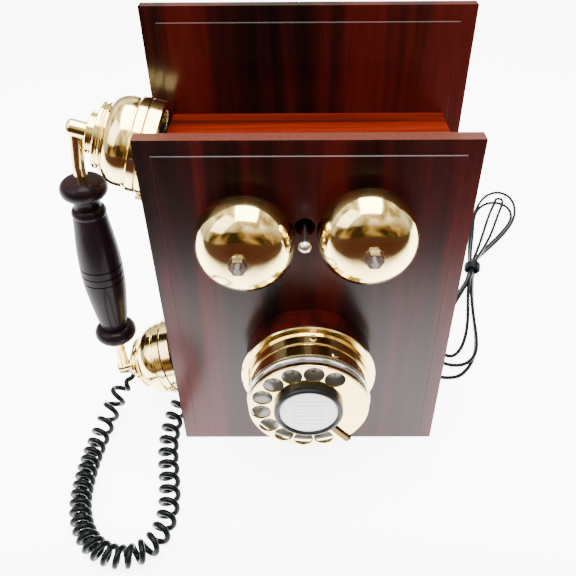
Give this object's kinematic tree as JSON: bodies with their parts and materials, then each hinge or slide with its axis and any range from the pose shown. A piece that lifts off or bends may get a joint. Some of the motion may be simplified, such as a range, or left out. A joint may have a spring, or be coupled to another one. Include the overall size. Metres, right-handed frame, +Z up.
{
  "type": "wall telephone",
  "caption": "Wooden wall telephone with a brass dial, paired bell gongs, a handset hung at its left side, a curly cord and a bundled line cord.",
  "frame": {"origin": "bottom centre of the back board's rear face, on the wall plane and level with the shelf the board stands on", "axes": "+X to the right seen from the front, +Y into the wall, +Z up"},
  "size_m": [0.43, 0.4933, 0.3],
  "materials": {
    "case_wood": "dark mahogany-red gloss varnish",
    "aged_brass": "polished",
    "inner_wood": "unvarnished",
    "handle_wood": "near-black brown gloss varnish",
    "brass": "polished",
    "nickel": "bright nickel plate",
    "steel": "satin",
    "bezel_metal": "satin",
    "plate_paint": "satin light grey enamel",
    "dark_paint": "satin black",
    "card": "matt",
    "black_plastic": "gloss",
    "fibre": "matt brown fibre",
    "coil_tape": "varnished tape",
    "cord_vinyl": "semi-gloss",
    "tie_plastic": "matt"
  },
  "bodies": {
    "case": {"back_board": "case_wood", "box_bottom": "inner_wood", "box_left_side": "case_wood", "box_right_side": "case_wood", "box_top": "case_wood", "capacitor": "coil_tape", "case_screws": "steel", "circuit_board": "fibre", "curly_cord": "cord_vinyl", "curly_cord_grommet": "brass", "dial_base_ring": "case_wood", "dial_bezel": "bezel_metal", "dial_cup": "brass", "dial_cup_screws": "nickel", "dial_frame": "steel", "dial_spring": "steel", "finger_stop": "aged_brass", "front_panel": "case_wood", "gong_nuts": "nickel", "gong_posts": "steel", "hanger_plates": "steel", "hanger_screws": "steel", "hank_tie": "tie_plastic", "hook_bracket": "steel", "hook_contacts": "fibre", "hook_pivot_pin": "steel", "hook_spring": "steel", "impulse_contacts": "fibre", "left_gong": "brass", "line_cord": "cord_vinyl", "line_cord_grommet": "brass", "line_cord_hank": "cord_vinyl", "line_plug": "black_plastic", "number_plate": "plate_paint", "right_gong": "brass", "ringer_coils": "coil_tape", "ringer_frame": "steel", "transformer": "dark_paint"},
    "dial_wheel": {"finger_wheel": "brass", "centre_ring": "dark_paint", "label_card": "card", "dial_shaft": "steel", "main_gear": "steel"},
    "governor": {"governor_pinion": "steel"},
    "hammer": {"armature": "steel", "hammer_rod": "steel", "hammer_ball": "steel"},
    "hook": {"switch_hook": "brass"},
    "handset": {"handle": "handle_wood", "upper_tube": "brass", "lower_tube": "brass", "ear_cup": "brass", "ear_cap_ring": "brass", "ear_piece": "black_plastic", "receiver_capsule": "black_plastic", "mouth_cup": "brass", "mouth_cap_ring": "brass", "mouth_piece": "black_plastic", "transmitter_capsule": "black_plastic", "grub_screws": "nickel"}
  },
  "joints": [
    {"name": "dial_turn", "type": "hinge", "parent": "case", "child": "dial_wheel", "pos_m": [0, -0.124, 0.0895], "axis": [0, 1, 0], "range_deg": [0, 330], "stiffness_Nm_per_rad": 0.01, "springref_deg": -45.84},
    {"name": "governor_spin", "type": "hinge", "parent": "case", "child": "governor", "pos_m": [0, -0.107, 0.1183], "axis": [0, 1, 0], "range_deg": [-1650, 0]},
    {"name": "hammer_swing", "type": "hinge", "parent": "case", "child": "hammer", "pos_m": [-0.0022, -0.0505, 0.1953], "axis": [0, 0, 1], "range_deg": [-3.4, 5.2]},
    {"name": "handset_lift", "type": "slide", "parent": "case", "child": "handset", "axis": [0, 0, 1], "range_m": [0, 0.06]},
    {"name": "hook_rise", "type": "hinge", "parent": "case", "child": "hook", "pos_m": [-0.06, -0.038, 0.19], "axis": [0, 1, 0], "range_deg": [0, 8.1]}
  ],
  "couplings": [
    {"joint": "governor_spin", "follows": "dial_turn", "ratio": -5},
    {"joint": "hook_rise", "follows": "handset_lift", "rad_per_m": 2.33}
  ]
}
